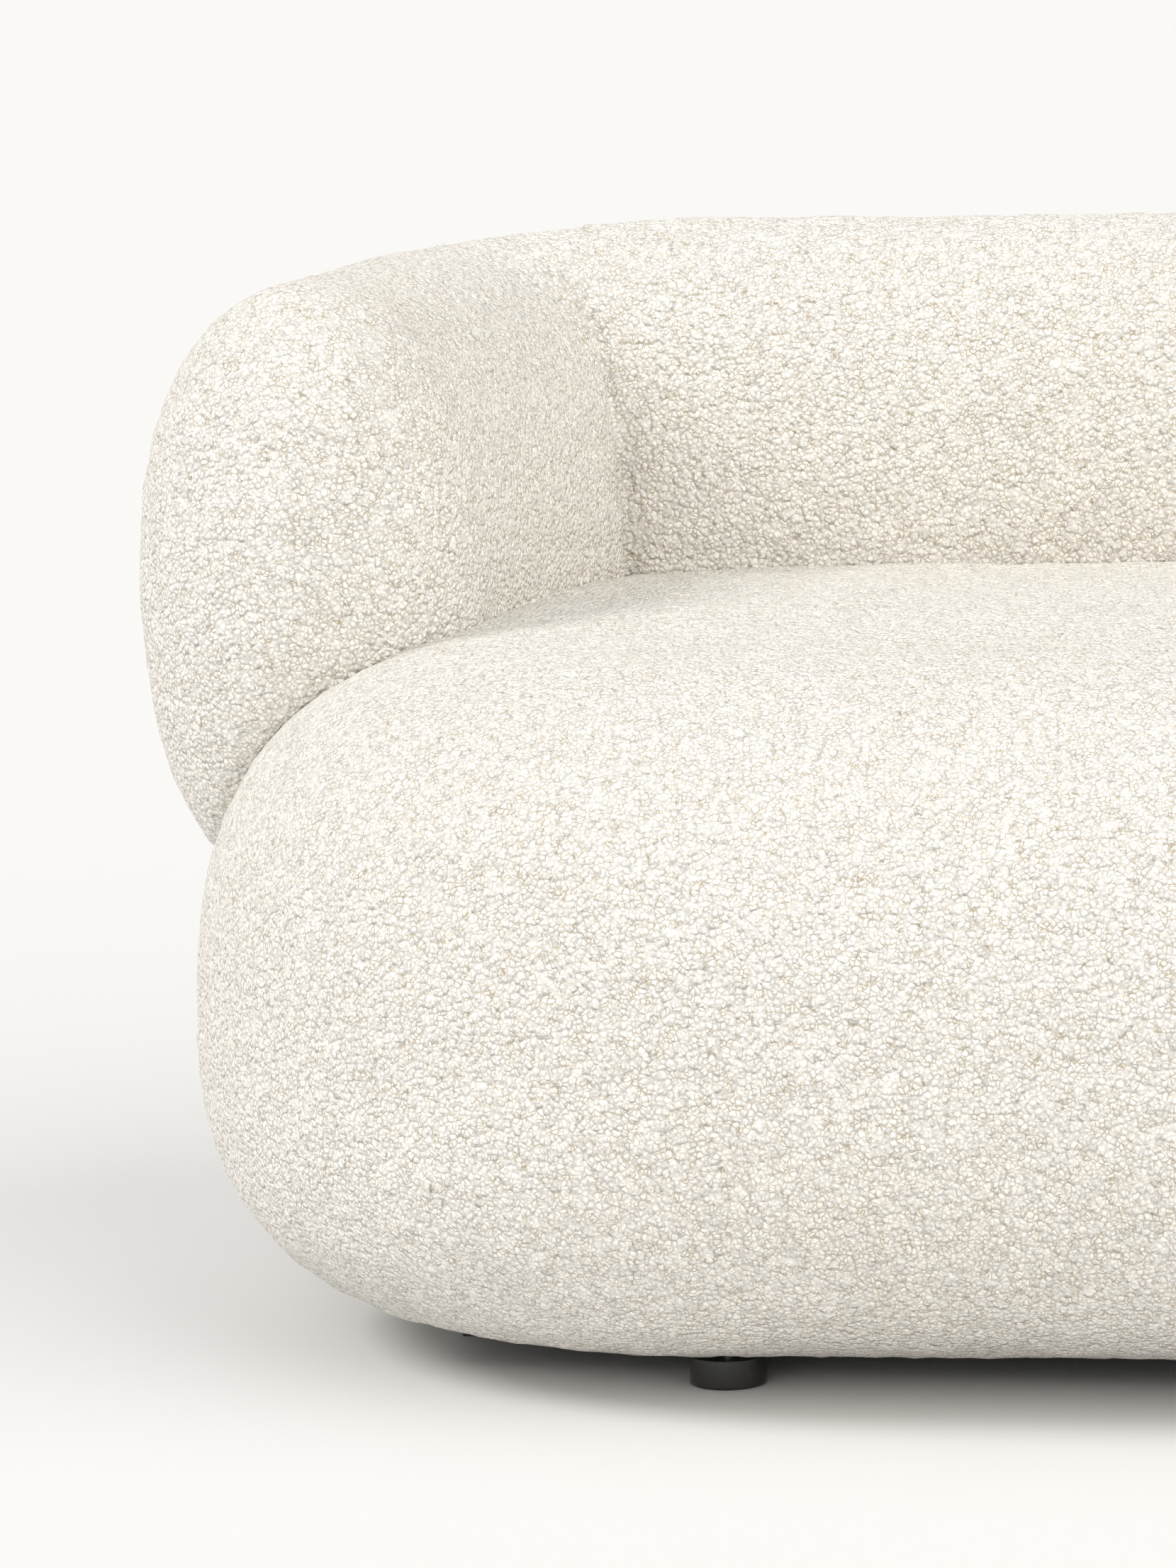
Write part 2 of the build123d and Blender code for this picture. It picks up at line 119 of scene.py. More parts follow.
# ---------------------------------------------------------------- mesh helpers
def new_object(name, verts, faces, smooth=True):
    """A mesh object in the scene from plain lists of vertices and faces."""
    mesh = bpy.data.meshes.new(name)
    mesh.from_pydata([tuple(v) for v in verts], [], faces)
    mesh.validate()
    mesh.polygons.foreach_set("use_smooth", [smooth] * len(mesh.polygons))
    mesh.update()
    obj = bpy.data.objects.new(name, mesh)
    bpy.context.scene.collection.objects.link(obj)
    return obj


def weld(obj, distance=1e-5):
    """Merge doubled vertices, drop flat faces and point every normal outwards."""
    bm = bmesh.new()
    bm.from_mesh(obj.data)
    bmesh.ops.remove_doubles(bm, verts=bm.verts, dist=distance)
    bmesh.ops.dissolve_degenerate(bm, edges=bm.edges, dist=distance)
    bmesh.ops.recalc_face_normals(bm, faces=bm.faces)
    bm.to_mesh(obj.data)
    bm.free()
    obj.data.update()


def grid_faces(rows, columns, closed, first=0):
    """Quads between `rows` rows of `columns` vertices, closed round each row if asked."""
    faces = []
    for row in range(rows - 1):
        for column in range(columns if closed else columns - 1):
            after = (column + 1) % columns
            a = first + row * columns
            faces.append((a + column, a + after, a + columns + after, a + columns + column))
    return faces


def coordinates(obj):
    """Vertex coordinates of an object as an (n, 3) array."""
    flat = np.zeros(len(obj.data.vertices) * 3)
    obj.data.vertices.foreach_get("co", flat)
    return flat.reshape(-1, 3)


def normals(obj):
    """Vertex normals of an object as an (n, 3) array."""
    flat = np.zeros(len(obj.data.vertices) * 3)
    obj.data.vertices.foreach_get("normal", flat)
    return flat.reshape(-1, 3)


def set_coordinates(obj, points):
    obj.data.vertices.foreach_set("co", np.asarray(points, float).ravel())
    obj.data.update()


def apply_modifiers(obj):
    """Replace the object's mesh by what its modifiers make of it."""
    graph = bpy.context.evaluated_depsgraph_get()
    mesh = bpy.data.meshes.new_from_object(obj.evaluated_get(graph))
    obj.modifiers.clear()
    obj.data = mesh


def subdivide(obj, levels):
    modifier = obj.modifiers.new("smooth", "SUBSURF")
    modifier.levels = levels
    modifier.render_levels = levels
    apply_modifiers(obj)
    obj.data.polygons.foreach_set("use_smooth", [True] * len(obj.data.polygons))


def lattice_noise(points, cell, seed):
    """Smooth random values from -1 to 1 with features about `cell` across."""
    table = np.random.default_rng(seed).uniform(-1, 1, (64, 64, 64))
    q = np.asarray(points) / cell
    low = np.floor(q).astype(int)
    f = q - low
    f = f * f * (3 - 2 * f)
    total = np.zeros(len(q))
    for dx in (0, 1):
        for dy in (0, 1):
            for dz in (0, 1):
                weight = (np.where(dx, f[:, 0], 1 - f[:, 0]) * np.where(dy, f[:, 1], 1 - f[:, 1])
                          * np.where(dz, f[:, 2], 1 - f[:, 2]))
                total += weight * table[(low[:, 0] + dx) % 64, (low[:, 1] + dy) % 64,
                                        (low[:, 2] + dz) % 64]
    return total


def evenly(points, spacing):
    """A polyline's points moved to an even spacing along it, with both ends kept."""
    points = np.asarray(points, float)
    along = np.r_[0, np.cumsum(np.linalg.norm(np.diff(points, axis=0), axis=1))]
    count = max(2, int(round(along[-1] / spacing)) + 1)
    at = np.linspace(0, along[-1], count)
    return np.stack([np.interp(at, along, points[:, k]) for k in range(points.shape[1])], 1)


# ---------------------------------------------------------------- seat surface
def seat_outline():
    """Points of the seat's plan outline with their outward normals, anticlockwise from above."""
    half_x = SEAT_HIGH.x
    centre_y = (SEAT_LOW.y + SEAT_HIGH.y) / 2
    half_y = (SEAT_HIGH.y - SEAT_LOW.y) / 2
    core_x, core_y = half_x - SEAT_CORNER, half_y - SEAT_CORNER
    arc_steps = int(SEAT_CORNER * math.pi / 2 / CELL)
    points, outward = [], []
    corners = ((core_x, -core_y, -90), (core_x, core_y, 0), (-core_x, core_y, 90), (-core_x, -core_y, 180))
    for index, (cx, cy, start) in enumerate(corners):
        for step in range(arc_steps + 1):
            angle = math.radians(start + 90 * step / arc_steps)
            way = np.array([math.cos(angle), math.sin(angle)])
            points.append(np.array([cx, cy + centre_y]) + way * SEAT_CORNER)
            outward.append(way)
        nx, ny, _ = corners[(index + 1) % 4]
        run = math.hypot(nx - cx, ny - cy)
        steps = max(1, int(round(run / CELL)))
        for step in range(1, steps):
            share = step / steps
            points.append(np.array([cx + (nx - cx) * share, cy + (ny - cy) * share + centre_y])
                          + way * SEAT_CORNER)
            outward.append(way)
    return np.array(points), np.array(outward)


def seat_profile():
    """(inset, height) from the turned-under edge round the side to the top's shoulder."""
    bottom = SEAT_LOW.z
    shoulder = SEAT_HIGH.z - SEAT_CROWN
    profile = [(SEAT_TURN_UNDER, bottom), (SEAT_LOWER_ROUND, bottom)]
    for angle in np.radians(np.linspace(-90, 0, 60))[1:]:
        c = abs(math.cos(angle)) ** (2 / SEAT_LOWER_POWER)
        s = abs(math.sin(angle)) ** (2 / SEAT_LOWER_POWER)
        profile.append((SEAT_LOWER_ROUND * (1 - c), bottom + SEAT_LOWER_ROUND * (1 - s)))
    for angle in np.radians(np.linspace(0, 90, 80)):
        c = abs(math.cos(angle)) ** (2 / SEAT_UPPER_POWER)
        s = abs(math.sin(angle)) ** (2 / SEAT_UPPER_POWER)
        profile.append((SEAT_UPPER_ROUND * (1 - c), shoulder - SEAT_UPPER_ROUND * (1 - s)))
    return evenly(profile, CELL)


def seat_surface_height(x, y):
    """Height of the seat's upper surface over a plan point, and -1 outside its outline."""
    half_x = SEAT_HIGH.x
    centre_y = (SEAT_LOW.y + SEAT_HIGH.y) / 2
    half_y = (SEAT_HIGH.y - SEAT_LOW.y) / 2
    qx = np.abs(x) - (half_x - SEAT_CORNER)
    qy = np.abs(y - centre_y) - (half_y - SEAT_CORNER)
    outside = np.hypot(np.maximum(qx, 0), np.maximum(qy, 0)) + np.minimum(np.maximum(qx, qy), 0)
    inset = SEAT_CORNER - outside
    share = np.clip(1 - inset / SEAT_UPPER_ROUND, 0, 1)
    rise = (1 - share ** SEAT_UPPER_POWER) ** (1 / SEAT_UPPER_POWER)
    shoulder = SEAT_HIGH.z - SEAT_CROWN
    height = shoulder - SEAT_UPPER_ROUND * (1 - rise)
    top_half = half_y - SEAT_UPPER_ROUND
    crown = np.clip((inset - SEAT_UPPER_ROUND) / top_half, 0, 1)
    height = height + SEAT_CROWN * (1 - (1 - crown) ** 2) * (inset > SEAT_UPPER_ROUND)
    return np.where(inset > 0, height, -1)


def make_seat(name):
    """The seat's skin: rings up the side, then rings that close on the top's middle line."""
    outline, outward = seat_outline()
    centre_y = (SEAT_LOW.y + SEAT_HIGH.y) / 2
    rings = []
    for inset, height in seat_profile():
        ring = outline - outward * inset
        lift = SEAT_BELLY_LIFT * np.clip(1 - (ring[:, 0] / SEAT_BELLY_REACH) ** 2, 0, 1)
        lift = lift * max(0, 1 - (height - SEAT_LOW.z) / SEAT_LOWER_ROUND)
        rings.append(np.c_[ring, height + lift])
    shoulder = rings[-1][:, :2]
    half_y = (SEAT_HIGH.y - SEAT_LOW.y) / 2 - SEAT_UPPER_ROUND
    spine_x = SEAT_HIGH.x - SEAT_UPPER_ROUND - half_y
    spine = np.c_[np.clip(shoulder[:, 0], -spine_x, spine_x), np.full(len(shoulder), centre_y)]
    steps = int(half_y / CELL)
    for step in range(1, steps + 1):
        share = step / steps
        height = SEAT_HIGH.z - SEAT_CROWN * (1 - share) ** 2
        rings.append(np.c_[shoulder + (spine - shoulder) * share, np.full(len(shoulder), height)])
    seat = new_object(name, np.concatenate(rings), grid_faces(len(rings), len(outline), True))
    weld(seat)
    return seat


# ---------------------------------------------------------------- roll surface
def section_angles(half_width, half_height):
    """Angles round a superellipse that give evenly spaced points, with both poles kept."""
    fine = np.radians(np.linspace(0, 90, 400))
    x = half_width * np.cos(fine) ** (2 / ROLL_POWER)
    z = half_height * np.sin(fine) ** (2 / ROLL_POWER)
    along = np.r_[0, np.cumsum(np.hypot(np.diff(x), np.diff(z)))]
    count = int(round(along[-1] / CELL))
    quarter = np.interp(np.linspace(0, along[-1], count + 1), along, fine)
    half = np.r_[-quarter[::-1], quarter[1:]]
    return half


def spread(angle):
    """Signed superellipse cosine and sine of an angle."""
    c, s = np.cos(angle), np.sin(angle)
    power = 2 / ROLL_POWER
    return np.sign(c) * np.abs(c) ** power, np.sign(s) * np.abs(s) ** power


def ease(share):
    return share * share * (3 - 2 * share)


def left_stations():
    """(outer point, inner point, top) of each section from the left arm's end to the middle."""
    outer_x = ROLL_WIDTH
    inner_x = outer_x + ROLL_THICK
    inner_y = REAR_Y - ROLL_THICK
    turn_x, turn_y = outer_x + ROLL_CORNER, REAR_Y - ROLL_CORNER
    hub_x, hub_y = INNER_CORNER_X + INNER_CORNER_ROUND, inner_y - INNER_CORNER_ROUND
    arm_top = ROLL_TOP - ARM_TOP_DROP
    stations = []
    arm_steps = 8
    for step in range(arm_steps):
        share = step / arm_steps
        outer = (outer_x, ROLL_END_Y + (turn_y - ROLL_END_Y) * share)
        inner = (inner_x + (INNER_CORNER_X - inner_x) * share, ROLL_END_Y + (hub_y - ROLL_END_Y) * share)
        stations.append((outer, inner, arm_top))
    turn_steps = 22
    for step in range(turn_steps):
        share = step / turn_steps
        angle = math.radians(180 - 90 * share)
        outer = (turn_x + ROLL_CORNER * math.cos(angle), turn_y + ROLL_CORNER * math.sin(angle))
        inner = (hub_x + INNER_CORNER_ROUND * math.cos(angle), hub_y + INNER_CORNER_ROUND * math.sin(angle))
        stations.append((outer, inner, arm_top + ARM_TOP_DROP * ease(share)))
    back_steps = int(-turn_x / CELL)
    for step in range(back_steps + 1):
        share = step / back_steps
        stations.append(((turn_x * (1 - share), REAR_Y), (hub_x * (1 - share), inner_y), ROLL_TOP))
    return stations


def make_roll(name):
    """The back-and-arm roll's skin: sections round the U, closed by a dome on each arm's end."""
    half = section_angles(ROLL_THICK / 2, (ROLL_TOP - ROLL_BOTTOM) / 2)
    ring_angles = np.r_[half, np.pi - half[-2:0:-1]]
    c, s = spread(ring_angles)
    left = left_stations()
    right = [((-o[0], o[1]), (-i[0], i[1]), top) for o, i, top in reversed(left[:-1])]
    rows = []
    for outer, inner, top in left + right:
        outer, inner = np.array(outer), np.array(inner)
        middle, reach = (outer + inner) / 2, (outer - inner) / 2
        bottom = ROLL_BOTTOM - ARM_BOTTOM_SHARE * (ROLL_TOP - top)
        z = (top + bottom) / 2 + (top - bottom) / 2 * s
        rows.append(np.c_[middle + np.outer(c, reach), z])
    verts = list(np.concatenate(rows))
    faces = grid_faces(len(rows), len(ring_angles), True)
    radius = ROLL_THICK / 2
    top = ROLL_TOP - ARM_TOP_DROP
    bottom = ROLL_BOTTOM - ARM_BOTTOM_SHARE * ARM_TOP_DROP
    c, s = spread(half)
    for side in (1, -1):
        centre_x = side * (ROLL_WIDTH + radius)
        first = len(verts)
        meridians = 15
        for step in range(meridians):
            angle = math.pi + math.pi * step / (meridians - 1)
            x = centre_x + side * radius * math.cos(angle) * c
            y = ROLL_END_Y + radius * math.sin(angle) * c
            z = (top + bottom) / 2 + (top - bottom) / 2 * s
            verts += list(np.c_[x, y, z])
        faces += grid_faces(meridians, len(half), False, first)
    roll = new_object(name, verts, faces)
    weld(roll)
    return roll


def rest_on_seat(obj):
    """Lift the roll's points that lie deep in the seat until they only press into it a little."""
    points = coordinates(obj)
    height = seat_surface_height(points[:, 0], points[:, 1])
    points[:, 2] = np.maximum(points[:, 2], height - CONTACT_PRESS)
    set_coordinates(obj, points)


def sew_valleys(obj):
    """Draw the roll's skin in along the seams of its two inner corners, deepest low down."""
    points = coordinates(obj)
    corner = np.array([INNER_CORNER_X, REAR_Y - ROLL_THICK])
    way = np.array(SEAM_WAY)
    plan = np.c_[-np.abs(points[:, 0]), points[:, 1]] - corner
    along = plan @ way
    across = plan @ np.array([-way[1], way[0]])
    near = np.exp(-(across / SEAM_HALF_WIDTH) ** 2) * (along < SEAM_REACH)
    low, high = SEAM_FADE
    fade = ease(np.clip((high - points[:, 2]) / (high - low), 0, 1))
    set_coordinates(obj, points - normals(obj) * (SEAM_DEPTH * near * fade)[:, None])


# ---------------------------------------------------------------- padding
def swell(obj, pinned, cap, pressure=4.0, frames=14):
    """Cloth simulation that pads the skin out, never in, between its pinned points, by `cap` at most."""
    before = coordinates(obj)
    group = obj.vertex_groups.new(name="pinned")
    for index, weight in enumerate(pinned):
        if weight > 0:
            group.add([index], float(weight), "REPLACE")
    cloth = obj.modifiers.new("cloth", "CLOTH")
    cloth.settings.quality = 6
    cloth.settings.mass = 0.4
    cloth.settings.tension_stiffness = 40
    cloth.settings.compression_stiffness = 40
    cloth.settings.shear_stiffness = 20
    cloth.settings.bending_stiffness = 4
    cloth.settings.use_pressure = True
    cloth.settings.uniform_pressure_force = pressure
    cloth.settings.effector_weights.gravity = 0
    cloth.settings.vertex_group_mass = "pinned"
    cloth.settings.pin_stiffness = 1
    cloth.collision_settings.use_collision = False
    cloth.point_cache.frame_start = 1
    cloth.point_cache.frame_end = frames
    scene = bpy.context.scene
    for number in range(1, frames + 1):
        scene.frame_set(number)
    graph = bpy.context.evaluated_depsgraph_get()
    settled = bpy.data.meshes.new_from_object(obj.evaluated_get(graph))
    flat = np.zeros(len(settled.vertices) * 3)
    settled.vertices.foreach_get("co", flat)
    obj.modifiers.clear()
    obj.vertex_groups.clear()
    scene.frame_set(1)
    move = flat.reshape(-1, 3) - before
    out = normals(obj)
    inward = np.minimum((move * out).sum(1, keepdims=True), 0)
    move = move - out * inward
    length = np.linalg.norm(move, axis=1, keepdims=True)
    move = move * np.minimum(1, cap / np.maximum(length, 1e-9))
    set_coordinates(obj, before + move)


def relief(obj, seed):
    """Hand-made unevenness of stuffed boucle: slow swells, soft lumps and the nap's grain."""
    points = coordinates(obj)
    out = normals(obj)
    height = np.zeros(len(points))
    for index, (lump_height, lump_width) in enumerate(RELIEF):
        height += lump_height * lattice_noise(points, lump_width, seed + index)
    # under the seat the cover lies on its base board, so it only swells outwards there
    height = np.where(points[:, 2] < UNDERSIDE_TOP, np.abs(height), height)
    set_coordinates(obj, points + out * height[:, None])


def inner_layer(source, name, inset):
    """A copy of a skin's coarse mesh, drawn in along its normals, for the layer under it."""
    layer = source.copy()
    layer.data = source.data.copy()
    layer.name = name
    layer.data.name = name
    bpy.context.scene.collection.objects.link(layer)
    set_coordinates(layer, coordinates(layer) - normals(layer) * inset)
    return layer


# ---------------------------------------------------------------- materials
class Nodes:
    """A short way to write a node tree: each call adds a node and links its inputs."""

    def __init__(self, name):
        self.material = bpy.data.materials.new(name)
        self.material.use_nodes = True
        self.tree = self.material.node_tree
        self.shader = self.tree.nodes["Principled BSDF"]
        self.place = self.tree.nodes.new("ShaderNodeTexCoord").outputs["Object"]

    def add(self, kind, inputs=None, **settings):
        node = self.tree.nodes.new(kind)
        for key, value in settings.items():
            setattr(node, key, value)
        for key, value in (inputs or {}).items():
            self.put(node.inputs[key], value)
        return node

    def put(self, socket, value):
        if isinstance(value, bpy.types.NodeSocket):
            self.tree.links.new(value, socket)
        else:
            socket.default_value = value

    def mapping(self, scale):
        return self.add("ShaderNodeMapping", {"Vector": self.place, "Scale": scale}).outputs[0]

    def noise(self, scale, detail=2.0, rough=0.5, source=None, distortion=0.0):
        node = self.add("ShaderNodeTexNoise", {"Vector": source or self.place, "Scale": scale,
                                               "Detail": detail, "Roughness": rough,
                                               "Distortion": distortion})
        return node.outputs["Fac"]

    def voronoi(self, scale, source=None, feature="SMOOTH_F1", smoothness=0.35):
        node = self.add("ShaderNodeTexVoronoi", {"Vector": source or self.place, "Scale": scale},
                        feature=feature)
        if feature == "SMOOTH_F1":
            node.inputs["Smoothness"].default_value = smoothness
        return node.outputs["Distance"]

    def math(self, operation, a, b=0.0, clamp=False):
        node = self.add("ShaderNodeMath", operation=operation, use_clamp=clamp)
        self.put(node.inputs[0], a)
        self.put(node.inputs[1], b)
        return node.outputs[0]

    def ramp(self, factor, stops):
        node = self.add("ShaderNodeValToRGB", {"Fac": factor})
        elements = node.color_ramp.elements
        while len(elements) < len(stops):
            elements.new(0.5)
        for element, (position, colour) in zip(elements, stops):
            element.position = position
            element.color = (*colour, 1)
        return node.outputs["Color"]

    def mix(self, factor, a, b, blend="MIX"):
        node = self.add("ShaderNodeMix", data_type="RGBA", blend_type=blend)
        self.put(node.inputs[0], factor)
        self.put(node.inputs[6], a)
        self.put(node.inputs[7], b)
        return node.outputs[2]

    def bump(self, height, strength, distance):
        node = self.add("ShaderNodeBump", {"Height": height, "Strength": strength, "Distance": distance})
        return node.outputs["Normal"]

    def surface(self, colour, roughness, normal=None, **values):
        self.put(self.shader.inputs["Base Color"], colour)
        self.put(self.shader.inputs["Roughness"], roughness)
        if normal is not None:
            self.put(self.shader.inputs["Normal"], normal)
        for key, value in values.items():
            self.shader.inputs[key.replace("_", " ")].default_value = value
        return self.material


def boucle():
    """Cream looped yarn: nubs a few millimetres across, painted tan shade in the thin hollows between them,
    scattered fat loops.
    """
    n = Nodes("boucle")
    wander = n.add("ShaderNodeTexNoise", {"Vector": n.place, "Scale": 200.0, "Detail": 1.0})
    offset = n.add("ShaderNodeVectorMath", {0: wander.outputs["Color"], 1: (0.5, 0.5, 0.5)},
                   operation="SUBTRACT").outputs[0]
    drift = n.add("ShaderNodeVectorMath", {0: offset}, operation="SCALE")
    drift.inputs["Scale"].default_value = 0.0036
    place = n.add("ShaderNodeVectorMath", {0: n.place, 1: drift.outputs[0]}, operation="ADD").outputs[0]
    nubs = n.voronoi(270.0, place, smoothness=0.15)
    edges = n.voronoi(270.0, place, "DISTANCE_TO_EDGE")
    fat = n.voronoi(135.0, place, smoothness=0.25)
    yarn = n.noise(1700.0, 2.0, 0.6, place, 0.8)
    patches = n.noise(130.0, 2.0)
    round_nub = n.math("SUBTRACT", 0.9, nubs)
    fat_nub = n.math("SUBTRACT", 0.52, fat, clamp=True)
    height = n.math("ADD", n.math("MULTIPLY", round_nub, 0.9), n.math("MULTIPLY", fat_nub, 0.9))
    height = n.math("ADD", height, n.math("MULTIPLY", yarn, 0.06))
    # Painted shade: the colour turns tan along the nubs' edges, standing in for the shadow that falls
    # between the loops; stronger in open patches, none on the fat loops.
    gap_shade_lines = n.ramp(edges, [(0.0, (1.0, 1.0, 1.0)), (0.11, (0.0, 0.0, 0.0))])
    gap_shade_patches = n.ramp(patches, [(0.36, (0.30, 0.30, 0.30)), (0.60, (1.0, 1.0, 1.0))])
    painted_gap_shade = n.math("MULTIPLY", n.math("MULTIPLY", gap_shade_lines, gap_shade_patches), n.math("SUBTRACT", 1.0, fat_nub))
    tone = n.mix(painted_gap_shade, (0.965, 0.942, 0.893, 1), (0.44, 0.370, 0.250, 1))
    drift_tone = n.noise(2.2, 3.0, 0.5)
    cast = n.ramp(drift_tone, [(0.30, (0.990, 0.980, 0.960)), (0.70, (1.0, 1.0, 1.0))])
    colour = n.mix(1.0, tone, cast, "MULTIPLY")
    normal = n.bump(height, 1.0, 0.0048)
    return n.surface(colour, 0.93, normal, Sheen_Weight=0.2, Sheen_Roughness=0.55,
                     Specular_IOR_Level=0.15)


def wadding():
    n = Nodes("wadding")
    fibres = n.noise(420.0, 5.0, 0.65, n.mapping((1, 1, 0.4)), 1.2)
    colour = n.ramp(fibres, [(0.3, (0.74, 0.74, 0.72)), (0.7, (0.90, 0.90, 0.88))])
    return n.surface(colour, 0.95, n.bump(fibres, 0.6, 0.002), Sheen_Weight=0.4)


def foam():
    n = Nodes("foam")
    cells = n.voronoi(640.0, smoothness=0.1)
    stain = n.noise(4.0, 3.0)
    colour = n.ramp(stain, [(0.3, (0.78, 0.70, 0.48)), (0.7, (0.86, 0.80, 0.60))])
    return n.surface(colour, 0.9, n.bump(cells, 0.5, 0.0012))


def timber(name, pale, dark, along, ring_scale=26.0):
    """Sawn wood with its grain along one axis."""
    n = Nodes(name)
    squeeze = tuple(0.06 if axis == along else 1.0 for axis in range(3))
    grain_place = n.mapping(squeeze)
    rings = n.noise(ring_scale, 4.0, 0.55, grain_place, 1.6)
    pores = n.noise(420.0, 3.0, 0.6, grain_place)
    share = n.math("ADD", n.math("MULTIPLY", rings, 0.8), n.math("MULTIPLY", pores, 0.2))
    colour = n.ramp(share, [(0.34, dark), (0.50, tuple((a + b) / 2 for a, b in zip(pale, dark))),
                            (0.64, pale)])
    rough = n.math("ADD", n.math("MULTIPLY", pores, 0.2), 0.5)
    return n.surface(colour, rough, n.bump(pores, 0.25, 0.0006))


def plywood():
    """Birch plywood: flat veneer faces, and thin plies that show on the cut edges."""
    n = Nodes("plywood")
    face = n.noise(18.0, 4.0, 0.5, n.mapping((0.08, 1, 1)), 1.2)
    veneer = n.ramp(face, [(0.35, (0.60, 0.43, 0.26)), (0.65, (0.74, 0.58, 0.39))])
    height = n.add("ShaderNodeSeparateXYZ", {0: n.place}).outputs["Z"]
    plies = n.math("FRACT", n.math("MULTIPLY", height, 1 / 0.0028))
    stripe = n.ramp(plies, [(0.45, (0.72, 0.55, 0.36)), (0.55, (0.42, 0.28, 0.16))])
    facing = n.add("ShaderNodeSeparateXYZ",
                   {0: n.add("ShaderNodeNewGeometry").outputs["Normal"]}).outputs["Z"]
    flat = n.math("GREATER_THAN", n.math("ABSOLUTE", facing), 0.7)
    return n.surface(n.mix(flat, stripe, veneer), 0.55, n.bump(face, 0.15, 0.0005))


def metal(name, colour, roughness, scratch=0.25):
    n = Nodes(name)
    wear = n.noise(160.0, 4.0, 0.6)
    dark = tuple(c * 0.72 for c in colour)
    tone = n.ramp(wear, [(0.35, dark), (0.65, colour)])
    rough = n.math("ADD", n.math("MULTIPLY", wear, scratch), roughness)
    return n.surface(tone, rough, n.bump(wear, 0.08, 0.0003), Metallic=1.0)


def cloth(name, dark, light, thread, roughness=0.9):
    """Plain woven or bonded cloth with crossing threads `thread` metres apart."""
    n = Nodes(name)
    warp = n.add("ShaderNodeTexWave", {"Vector": n.place, "Scale": 0.05 / thread, "Distortion": 1.5,
                                       "Detail": 2.0}, bands_direction="X").outputs["Fac"]
    weft = n.add("ShaderNodeTexWave", {"Vector": n.place, "Scale": 0.05 / thread, "Distortion": 1.5,
                                       "Detail": 2.0}, bands_direction="DIAGONAL").outputs["Fac"]
    weave = n.math("MULTIPLY", n.math("ADD", warp, weft), 0.5)
    blotch = n.noise(300.0, 3.0)
    share = n.math("ADD", n.math("MULTIPLY", weave, 0.6), n.math("MULTIPLY", blotch, 0.4))
    colour = n.ramp(share, [(0.3, dark), (0.7, light)])
    return n.surface(colour, roughness, n.bump(share, 0.5, 0.0006), Sheen_Weight=0.1)


def black_wood():
    """Black lacquered turned wood with a faint grain under a satin coat."""
    n = Nodes("black_wood")
    grain = n.noise(60.0, 4.0, 0.6, n.mapping((1, 1, 0.12)), 1.0)
    smear = n.noise(45.0, 3.0)
    colour = n.ramp(grain, [(0.35, (0.0045, 0.0045, 0.005)), (0.65, (0.014, 0.0135, 0.013))])
    rough = n.math("ADD", n.math("MULTIPLY", smear, 0.18), 0.22)
    return n.surface(colour, rough, n.bump(grain, 0.12, 0.0003), Coat_Weight=0.5, Coat_Roughness=0.18)


def nylon():
    n = Nodes("nylon")
    scuff = n.noise(300.0, 4.0, 0.6)
    colour = n.ramp(scuff, [(0.35, (0.10, 0.10, 0.10)), (0.65, (0.16, 0.155, 0.15))])
    return n.surface(colour, 0.5, n.bump(scuff, 0.2, 0.0003))


MATERIALS = {
    "boucle": boucle(),
    "wadding": wadding(),
    "foam": foam(),
    "plywood": plywood(),
    "timber_x": timber("timber_x", (0.74, 0.56, 0.35), (0.47, 0.31, 0.16), 0),
    "timber_y": timber("timber_y", (0.74, 0.56, 0.35), (0.47, 0.31, 0.16), 1),
    "timber_z": timber("timber_z", (0.74, 0.56, 0.35), (0.47, 0.31, 0.16), 2),
    "dowel_wood": timber("dowel_wood", (0.66, 0.47, 0.29), (0.44, 0.27, 0.14), 0, 60.0),
    "spring_steel": metal("spring_steel", (0.26, 0.26, 0.28), 0.35),
    "zinc_steel": metal("zinc_steel", (0.64, 0.65, 0.66), 0.28),
    "dust_cloth": cloth("dust_cloth", (0.008, 0.008, 0.009), (0.028, 0.027, 0.027), 0.0012),
    "felt": cloth("felt", (0.16, 0.15, 0.14), (0.34, 0.33, 0.31), 0.0030),
    "webbing": cloth("webbing", (0.03, 0.03, 0.032), (0.10, 0.10, 0.105), 0.0022),
    "black_wood": black_wood(),
    "glide_felt": nylon(),
}


def dress(obj, key):
    """Give an object one finish in every material slot."""
    obj.data.materials.clear()
    obj.data.materials.append(MATERIALS[key])


def dress_cad_nodes():
    """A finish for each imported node, by the record's slot and the timber's direction."""
    slots = {part["node"]: part["material_slot"] for part in frame["record"]["subparts"]}
    for name, obj in frame["nodes"].items():
        key = slots[name]
        if key == "timber":
            low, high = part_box(name)
            size = list(high - low)
            key = "timber_" + "xyz"[size.index(max(size))]
        dress(obj, key)


# ---------------------------------------------------------------- pieces
def finish_piece(obj, material, *replaced):
    """Dress a piece, fix it to the body and hide the CAD nodes it stands for."""
    dress(obj, material)
    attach(obj, "root")
    if replaced:
        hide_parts(*replaced)


def seat_pieces():
    skin = make_seat("seat_cover_skin")
    wad = inner_layer(skin, "seat_wadding_layer", WADDING_INSET)
    core = inner_layer(skin, "seat_foam_layer", FOAM_INSET)
    points = coordinates(skin)
    under_back = points[:, 1] > HELD_REAR_Y
    under_arm = (np.abs(points[:, 0]) > HELD_SIDE_X) & (points[:, 1] > HELD_SIDE_Y)
    edge = points[:, 2] < SEAT_LOW.z + HELD_EDGE
    swell(skin, np.where(under_back | under_arm | edge, 1.0, 0.0), cap=SEAT_SWELL)
    subdivide(skin, 2)
    relief(skin, SEED)
    for layer in (wad, core):
        subdivide(layer, 1)
    finish_piece(skin, "boucle", "seat_cover")
    finish_piece(wad, "wadding", "seat_wadding")
    finish_piece(core, "foam", "seat_foam_core", "seat_foam_surround")


